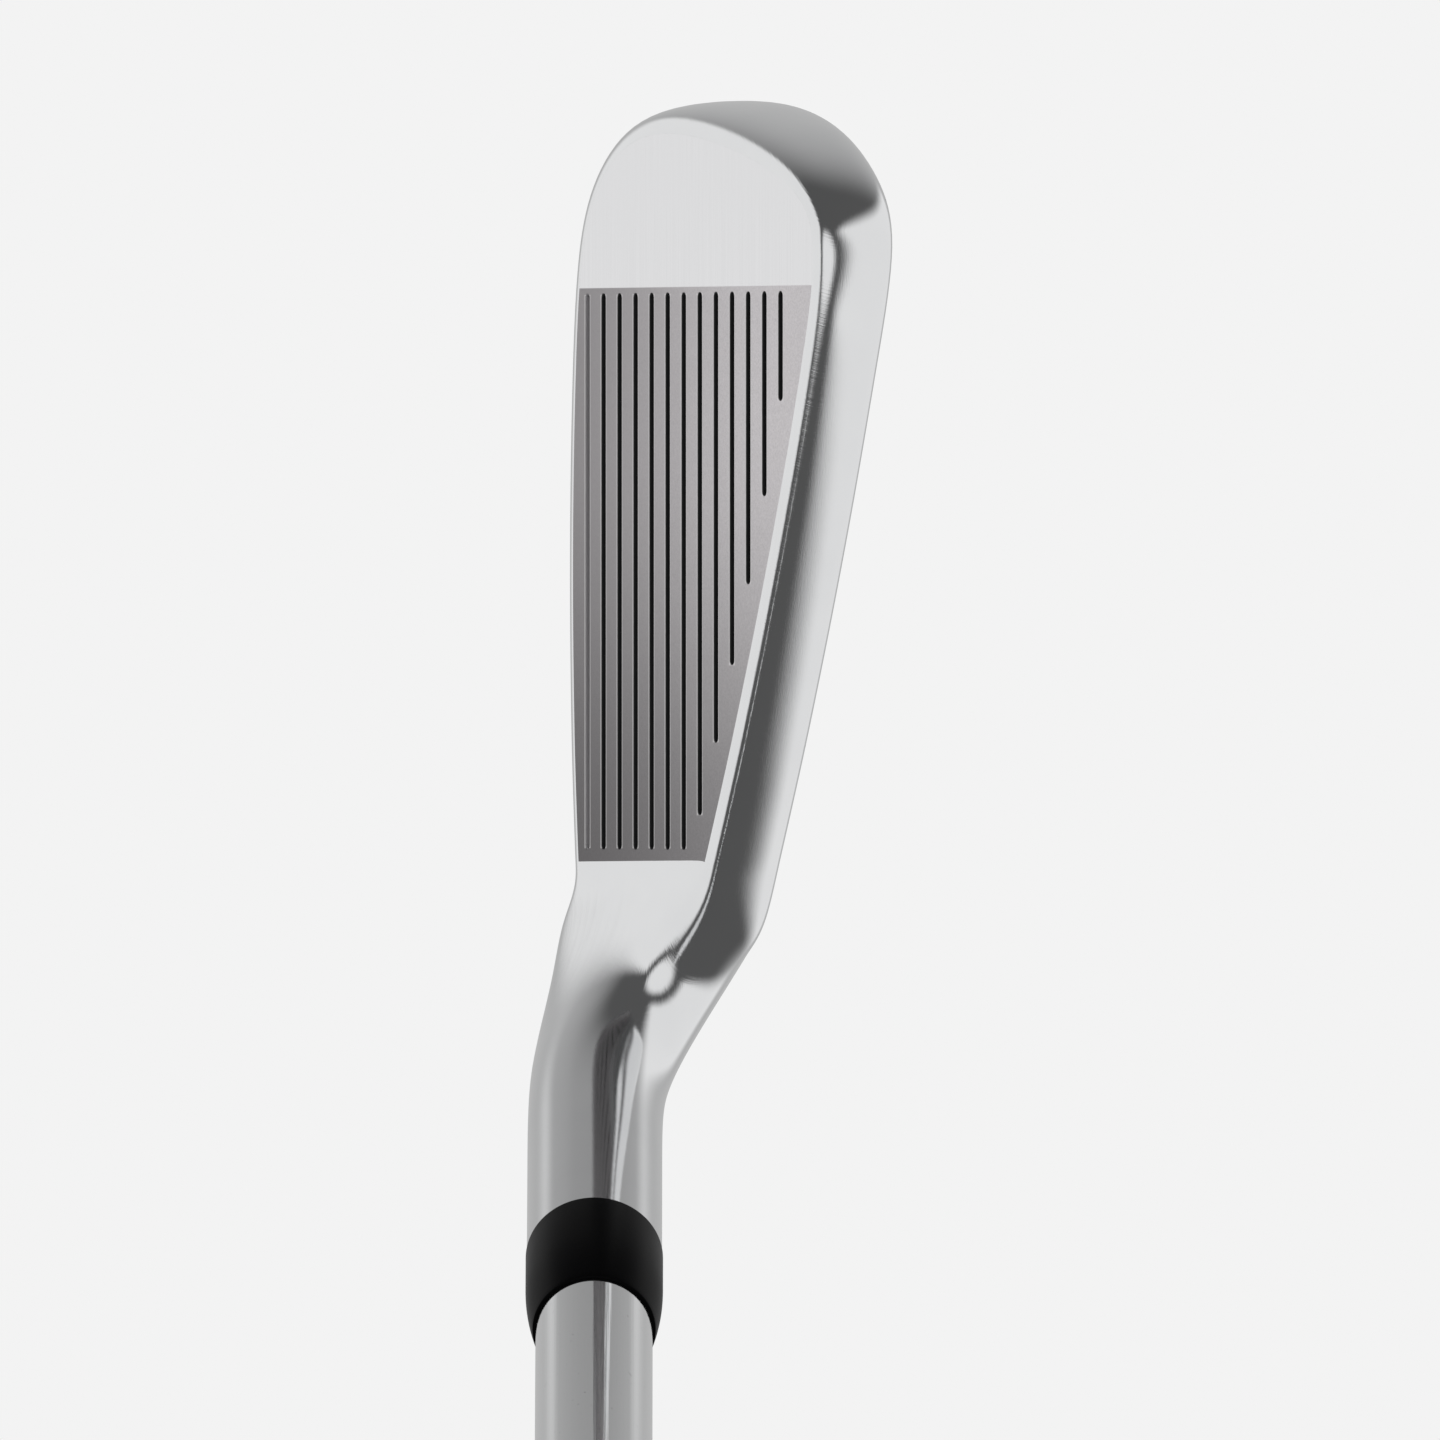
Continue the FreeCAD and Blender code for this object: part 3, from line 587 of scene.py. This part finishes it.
def material(name):
    """A new material and its node tree."""
    made = bpy.data.materials.new(name)
    made.use_nodes = True
    return made, Net(made.node_tree)


def principled(net, **inputs):
    """The material's shader with its inputs."""
    shader = net.node("ShaderNodeBsdfPrincipled")
    for key, item in inputs.items():
        item = (*item, 1) if isinstance(item, tuple) else item
        net.feed(shader.inputs[key.replace("_", " ")], item)
    out = net.node("ShaderNodeOutputMaterial")
    net.tree.links.new(shader.outputs[0], out.inputs["Surface"])


def face_coordinates(net):
    """Toe-ward reach, height up the face and depth into the head of a point."""
    vector, (x, y, z) = net.place()
    y = y - FACE_FOOT.y
    z = z - FACE_FOOT.z
    height = y * UP_FACE.y + z * UP_FACE.z
    depth = y * INTO_HEAD.y + z * INTO_HEAD.z
    return vector, x * -1, height, depth


# ---------------------------------------------------------------- materials
def chrome_head():
    """Polished nickel-chrome with faint polishing marks; the flat next to the face is brushed."""
    made, net = material("head_chrome")
    vector, reach, height, depth = face_coordinates(net)
    smear = net.noise(vector, 0.12, 2)
    fine = net.noise(net.vector(reach * 0.5, height * 0.5, depth * 8), 2.0, 3)
    flat = depth.rise(2.5, 0.5) * reach.rise(-12, 2)
    arc = ((reach + 6) * (reach + 6) + (height + 4) * (height + 4)).root()
    brushed = net.noise(net.vector(arc * 9, reach * 0.05, 0.0), 1.0, 3)
    marks = fine * 0.25 + brushed * flat
    roughness = smear * 0.03 + 0.07
    principled(
        net, Base_Color=net.mix(smear, (0.80, 0.805, 0.81), (0.74, 0.745, 0.755)), Metallic=1.0,
        Roughness=roughness, Normal=net.bump(marks, 0.000015),
    )
    return made


def blasted_face():
    """The hitting face: sandblasted between two crisp borders, polished outside them, with
    paint-dark grooves; the sandblasted part has painted shade, darker towards the heel and the
    leading edge, and painted highlights along the grooves' lips."""
    made, net = material("face_steel")
    vector, reach, height, depth = face_coordinates(net)
    heel_border, toe_border = BLASTED_ENDS
    zone = reach.rise(heel_border - 0.05, heel_border + 0.05)
    zone = zone * reach.rise(toe_border + 0.05, toe_border - 0.05)
    groove = depth.rise(0.01, 0.05)
    line = ((height - GROOVE_FIRST) / GROOVE_PITCH).nearest()
    bow = (reach - SOLE_CENTRE) / SOLE_HALF_SPAN
    edge = (reach - PLATE_HEEL) * TOPLINE_RISE + TOPLINE_HEEL_HEIGHT + (bow * bow * -1 + 1) * TOPLINE_BOW
    room = edge - line * GROOVE_PITCH - GROOVE_FIRST - GROOVE_GAP
    # Painted highlight: a pale line along both lips of each groove, where the groove edges catch the light.
    lip_highlight = (height - GROOVE_FIRST).wave(GROOVE_PITCH).rise(GROOVE_HALF + 0.16, GROOVE_HALF + 0.06)
    heel_end, toe_end = GROOVE_ENDS
    lip_highlight = lip_highlight * reach.rise(heel_end, heel_end + 0.1) * reach.rise(toe_end, toe_end - 0.1)
    lip_highlight = lip_highlight * room.rise(-0.05, 0.05) * line.rise(-0.6, -0.4) * line.rise(GROOVES - 0.4, GROOVES - 0.6)
    grit = net.noise(vector, 4.5, 3, 0.8)
    speck = net.noise(vector, 3.2, 2)
    brush = net.noise(net.vector(reach * 0.04, height * 5, 0.0), 1.0, 3)
    polish = net.noise(net.vector(reach * 0.3, height * 0.3, 0.0), 0.3, 2)
    blasted = net.mix(grit, (0.44, 0.422, 0.432), (0.84, 0.81, 0.826))
    # Painted shade: the sandblasted colour grows darker towards the leading edge and towards the heel,
    # where the face catches less light.
    blasted = net.mix(height.rise(46, -4) * 0.9, blasted, (0.28, 0.267, 0.274))
    blasted = net.mix(reach.rise(52, 6) * 0.57, blasted, (0.0, 0.0, 0.0))
    # The lips' painted highlight is mixed into the sandblasted colour.
    blasted = net.mix(lip_highlight * 0.6, blasted, (0.80, 0.79, 0.79))
    bright = net.mix(brush, (0.74, 0.74, 0.75), (0.82, 0.82, 0.83))
    ink = net.mix(line.rise(0.4, 0.6), (0.40, 0.39, 0.40), (0.02, 0.021, 0.022))  # the first groove is pale
    colour = net.mix(groove, net.mix(zone, bright, blasted), ink)
    roughness = zone * (0.40 + speck * 0.12) + (zone * -1 + 1) * (0.05 + polish * 0.03)
    height_map = zone * grit + (zone * -1 + 1) * brush * 0.008
    principled(
        net, Base_Color=colour, Metallic=groove * -0.9 + 1, Roughness=roughness + groove * 0.3,
        Normal=net.bump(height_map, 0.00003),
    )
    return made


def steel(name, dark, light, roughness, along=(1, 1, 1)):
    """A plain metal with grain along a direction."""
    made, net = material(name)
    vector, (x, y, z) = net.place()
    grain = net.noise(net.vector(x * along[0], y * along[1], z * along[2]), 2.0, 4, 0.6)
    cloud = net.noise(vector, 0.25, 2)
    principled(
        net, Base_Color=net.mix(grain, dark, light), Metallic=1.0,
        Roughness=cloud * 0.1 + grain * 0.06 + roughness, Normal=net.bump(grain, 0.00002),
    )
    return made


def shaft_coordinates(net):
    """Distance up the shaft's axis, and the two parts of the offset from it, in millimetres."""
    vector, (x, y, z) = net.place()
    up = x * SHAFT_AXIS.x + z * SHAFT_AXIS.z
    across = x * CROTCH.x + z * CROTCH.z
    return vector, up, across, y


def shaft_chrome():
    """Chromed tube with faint lengthwise drawing lines and small specks."""
    made, net = material("shaft_chrome")
    vector, up, across, side = shaft_coordinates(net)
    lines = net.noise(net.vector(across * 3, side * 3, up * 0.02), 1.0, 3)
    specks = net.noise(vector, 1.6, 3, 0.7).rise(0.66, 0.74)
    cloud = net.noise(vector, 0.08, 2)
    principled(
        net, Base_Color=net.mix(specks, (0.80, 0.805, 0.81), (0.62, 0.62, 0.63)), Metallic=1.0,
        Roughness=0.06 + cloud * 0.04 + specks * 0.06, Normal=net.bump(lines, 0.00001),
    )
    return made


def plastic(name, colour, other, roughness, grain_height=0.00002, scale=1.5, gloss=0.5):
    """A moulded or cast material with a slight grain."""
    made, net = material(name)
    vector, _ = net.place()
    grain = net.noise(vector, scale, 3, 0.6)
    cloud = net.noise(vector, 0.12, 2)
    principled(
        net, Base_Color=net.mix(cloud, colour, other), Roughness=cloud * 0.08 + roughness,
        Normal=net.bump(grain, grain_height), Specular_IOR_Level=gloss,
    )
    return made


DIAMOND_PITCH = 3.4
DIAMOND_SLANT = 0.19  # millimetres up the grip to a degree round it
GRIP_RING_PITCH = 38
PATTERNED = (700, 938)  # the grip's pattern starts and ends at these distances up the shaft


def grip_rubber():
    """Rubber with moulded rows of small diamonds and ring grooves."""
    made, net = material("grip_rubber")
    vector, up, across, side = shaft_coordinates(net)
    angle = side.degrees_over(across)
    slant_a = (angle * DIAMOND_SLANT + up).wave(DIAMOND_PITCH)
    slant_b = (angle * -DIAMOND_SLANT + up).wave(DIAMOND_PITCH)
    diamonds = slant_a.lower(slant_b).rise(0.15, 0.55)
    rings = up.wave(GRIP_RING_PITCH).rise(0.9, 1.3)
    start, end = PATTERNED
    patterned = up.rise(start, start + 1) * up.rise(end, end - 1)
    pattern = diamonds * patterned + (patterned * -1 + 1)
    grain = net.noise(vector, 3.0, 4, 0.7)
    dust = net.noise(vector, 0.05, 3)
    height = pattern * rings + grain * 0.12
    # Painted shade: the pattern's grooves and the ring grooves are coloured darker than the rubber between
    # them.
    colour = net.mix(pattern * rings, (0.012, 0.012, 0.013), (0.030, 0.030, 0.032))
    principled(
        net, Base_Color=net.mix(dust.rise(0.45, 0.8) * 0.35, colour, (0.06, 0.058, 0.055)),
        Roughness=0.62 + grain * 0.18, Normal=net.bump(height, 0.0004),
    )
    return made


# ---------------------------------------------------------------- the pieces
wear(make_head_skin(), chrome_head(), "head_chrome", "head_body")

TIP, SHAFT, STEP_RISE, WALL, TIP_WALL = 4.7, 5.7, 0.19, 0.42, 1.2
HOSEL_TOP, SHOULDER, TIP_END, SHAFT_END = 64.7, 77, 30.5, 945
STEPS, FIRST_STEP, STEP_PITCH, STEP_RAMP = 10, 215, 44, 1.5
BUTT = SHAFT + STEPS * STEP_RISE

outside = [(TIP, TIP_END), (TIP, SHOULDER), (SHAFT, SHOULDER)]
inside = [(TIP - TIP_WALL, TIP_END), (TIP - TIP_WALL, SHOULDER), (SHAFT - WALL, SHOULDER + STEP_RAMP * 2)]
for step in range(STEPS):
    foot = FIRST_STEP + step * STEP_PITCH
    narrow = SHAFT + step * STEP_RISE
    for radius, level in ((narrow, foot), (narrow + STEP_RISE, foot + STEP_RAMP)):
        outside.append((radius, level))
        inside.append((radius - WALL, level))
outside.append((BUTT, SHAFT_END))
inside.append((BUTT - WALL, SHAFT_END))
wear(lathe("shaft_tube", outside + inside[::-1]), shaft_chrome(), "shaft_chrome", "shaft")

FERRULE_RADIUS, FERRULE_STRAIGHT, FERRULE_LENGTH, LIP = 6.7, 7, 15, 0.3
ferrule = [(TIP, HOSEL_TOP, 0), (FERRULE_RADIUS, HOSEL_TOP, 0.12)]
for i in range(13):
    share = i / 12
    level = HOSEL_TOP + FERRULE_STRAIGHT + (FERRULE_LENGTH - FERRULE_STRAIGHT) * share
    radius = SHAFT + LIP + (FERRULE_RADIUS - SHAFT - LIP) * (1 - share**2)
    ferrule.append((radius, level, 0.12 if i == 12 else 0))
ferrule += [(SHAFT, HOSEL_TOP + FERRULE_LENGTH, 0.05), (SHAFT, SHOULDER, 0), (TIP, SHOULDER, 0)]
black = plastic("ferrule_black", (0.002, 0.002, 0.0022), (0.004, 0.004, 0.0044), 0.30, 0.000006, 2.0, 0.02)
wear(lathe("ferrule_collar", rounded_outline(ferrule)), black, "ferrule_black", "ferrule")

TAPE_THICKNESS, TAPE_INSET, MOUTH_ROUNDING = 0.15, 4, 0.6
GRIP_START, MOUTH_RADIUS, BUTT_RADIUS, TAPE = 685, 8.7, 12.9, BUTT + TAPE_THICKNESS
grip = [(BUTT, GRIP_START, 0), (MOUTH_RADIUS, GRIP_START, MOUTH_ROUNDING), (BUTT_RADIUS, SHAFT_END, 0)]
grip += [(TAPE, SHAFT_END, 0), (TAPE, GRIP_START + TAPE_INSET, 0), (BUTT, GRIP_START + TAPE_INSET, 0)]
wear(lathe("grip_rubber_sleeve", rounded_outline(grip)), grip_rubber(), "grip_rubber", "grip_sleeve")

CAP_RADIUS, CAP_END, VENT, CAP_FLARE, CAP_ROUNDING = 14.2, 952.5, 1.6, 1.5, 2.4
cap = [(VENT, SHAFT_END, 0), (BUTT_RADIUS, SHAFT_END, 0.2), (CAP_RADIUS, SHAFT_END + CAP_FLARE, 0.4)]
cap += [(CAP_RADIUS, CAP_END, CAP_ROUNDING), (VENT, CAP_END, 0.3)]
cap_rubber = plastic("cap_rubber", (0.012, 0.012, 0.013), (0.02, 0.02, 0.022), 0.45, 0.00004, 2.5)
wear(lathe("grip_end_cap", rounded_outline(cap, 8)), cap_rubber, "cap_rubber", "grip_cap")

node_materials = {
    "face_plate": blasted_face(),
    "damping_pad": plastic("damping_rubber", (0.03, 0.03, 0.034), (0.05, 0.05, 0.055), 0.6),
    "toe_weight": steel("weight_metal", (0.14, 0.14, 0.15), (0.22, 0.22, 0.235), 0.42),
    "toe_weight_plug": steel("plug_steel", (0.48, 0.48, 0.5), (0.58, 0.58, 0.6), 0.24),
    "badge_adhesive": plastic("adhesive", (0.7, 0.7, 0.67), (0.78, 0.78, 0.75), 0.5),
    "badge_carrier": plastic("badge_rubber", (0.012, 0.012, 0.014), (0.022, 0.022, 0.024), 0.5),
    "badge_plate": steel("badge_metal", (0.50, 0.51, 0.53), (0.60, 0.61, 0.63), 0.24, (0.05, 2, 2)),
    "hosel_epoxy": plastic("epoxy", (0.62, 0.55, 0.38), (0.7, 0.62, 0.45), 0.2),
    "tip_weight": steel("weight_brass", (0.60, 0.44, 0.18), (0.72, 0.55, 0.26), 0.28),
    "grip_tape": plastic("tape", (0.72, 0.70, 0.62), (0.80, 0.78, 0.70), 0.6),
}
for name, made in node_materials.items():
    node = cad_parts[name]
    node.data.materials.clear()
    node.data.materials.append(made)

# ---------------------------------------------------------------- studio
BACKGROUND = 0.896

# Brightnesses of a plain soft studio: a dim room, a pale table, a soft box overhead, and two tall ones,
# on the target side and behind the club.
ROOM = 0.10
TABLE = 0.50
TALL_BOX = 0.90
OVERHEAD = 0.90
BOX_HALF_WIDTH = 35  # degrees to each side of its middle
BOX_FADE = 15  # degrees over which its light fades
# Upright parts of a direction, from -1 straight down to 1 straight up: the first unlit, the second lit.
BOX_FOOT = (-0.9, -0.7)
BOX_TOP = (0.8, 0.6)
OVERHEAD_EDGE = (0.82, 0.94)


def tall_box(turn, z):
    """The share of a tall box's light in a direction, from its turn away from the box's middle."""
    dark = BOX_HALF_WIDTH + BOX_FADE
    sides = turn.rise(-dark, -BOX_HALF_WIDTH) * turn.rise(dark, BOX_HALF_WIDTH)
    return sides * z.rise(*BOX_FOOT) * z.rise(*BOX_TOP)


def make_world():
    """The studio's light. The camera itself sees an even light grey."""
    world = bpy.data.worlds.new("studio")
    world.use_nodes = True
    bpy.context.scene.world = world
    net = Net(world.node_tree)
    coordinates = net.node("ShaderNodeTexCoord")
    x, y, z = net.split(coordinates.outputs["Generated"])
    studio = net.mix(z.rise(-1, 0), (TABLE,) * 3, (ROOM,) * 3)
    for towards_box in (y * -1, y):
        studio = net.mix(tall_box(x.degrees_over(towards_box), z), studio, (TALL_BOX,) * 3)
    studio = net.mix(z.rise(*OVERHEAD_EDGE), studio, (OVERHEAD,) * 3)
    light = net.node("ShaderNodeBackground")
    net.feed(light.inputs["Color"], studio)
    seen = net.node("ShaderNodeBackground")
    seen.inputs["Color"].default_value = (BACKGROUND, BACKGROUND, BACKGROUND, 1)
    path = net.node("ShaderNodeLightPath")
    choose = net.node("ShaderNodeMixShader")
    net.tree.links.new(path.outputs["Is Camera Ray"], choose.inputs[0])
    net.tree.links.new(light.outputs[0], choose.inputs[1])
    net.tree.links.new(seen.outputs[0], choose.inputs[2])
    out = net.node("ShaderNodeOutputWorld")
    net.tree.links.new(choose.outputs[0], out.inputs["Surface"])


FLOOR_SIDE = 6
FLOOR_DROP = 0.002  # the club is held just off the floor


def make_floor():
    """A plain pale floor, which the camera sees and which neither shades the club nor shows in it."""
    made, net = material("pale_floor")
    glow = net.node("ShaderNodeEmission")
    glow.inputs["Color"].default_value = (BACKGROUND, BACKGROUND, BACKGROUND, 1)
    out = net.node("ShaderNodeOutputMaterial")
    net.tree.links.new(glow.outputs[0], out.inputs["Surface"])
    mesh = bpy.data.meshes.new("floor")
    half = FLOOR_SIDE / 2
    corners = [(-half, -half, 0), (half, -half, 0), (half, half, 0), (-half, half, 0)]
    mesh.from_pydata(corners, [], [(0, 1, 2, 3)])
    mesh.materials.append(made)
    floor = bpy.data.objects.new("floor", mesh)
    bpy.context.scene.collection.objects.link(floor)
    floor.location.z = START_BOX[0][2] - FLOOR_DROP
    floor.visible_diffuse = False
    floor.visible_glossy = False
    floor.visible_transmission = False
    floor.visible_shadow = False


LENS = 1500
SENSOR = 36
PICTURE_SIDE = 0.14118
PICTURE_CENTRE = Vector((-0.02255, 0.01225, 0.025))


def make_camera():
    """Looks straight down on the head, with the toe up in the picture."""
    data = bpy.data.cameras.new("address_view")
    data.sensor_width = SENSOR
    data.lens = LENS
    data.clip_end = 100
    camera = bpy.data.objects.new("address_view", data)
    bpy.context.scene.collection.objects.link(camera)
    camera.location = PICTURE_CENTRE + Vector((0, 0, PICTURE_SIDE * LENS / SENSOR))
    camera.rotation_euler = (0, 0, math.radians(90))
    bpy.context.scene.camera = camera


make_world()
make_floor()
make_camera()
scene = bpy.context.scene
scene.view_settings.view_transform = "Standard"
scene.view_settings.look = "None"
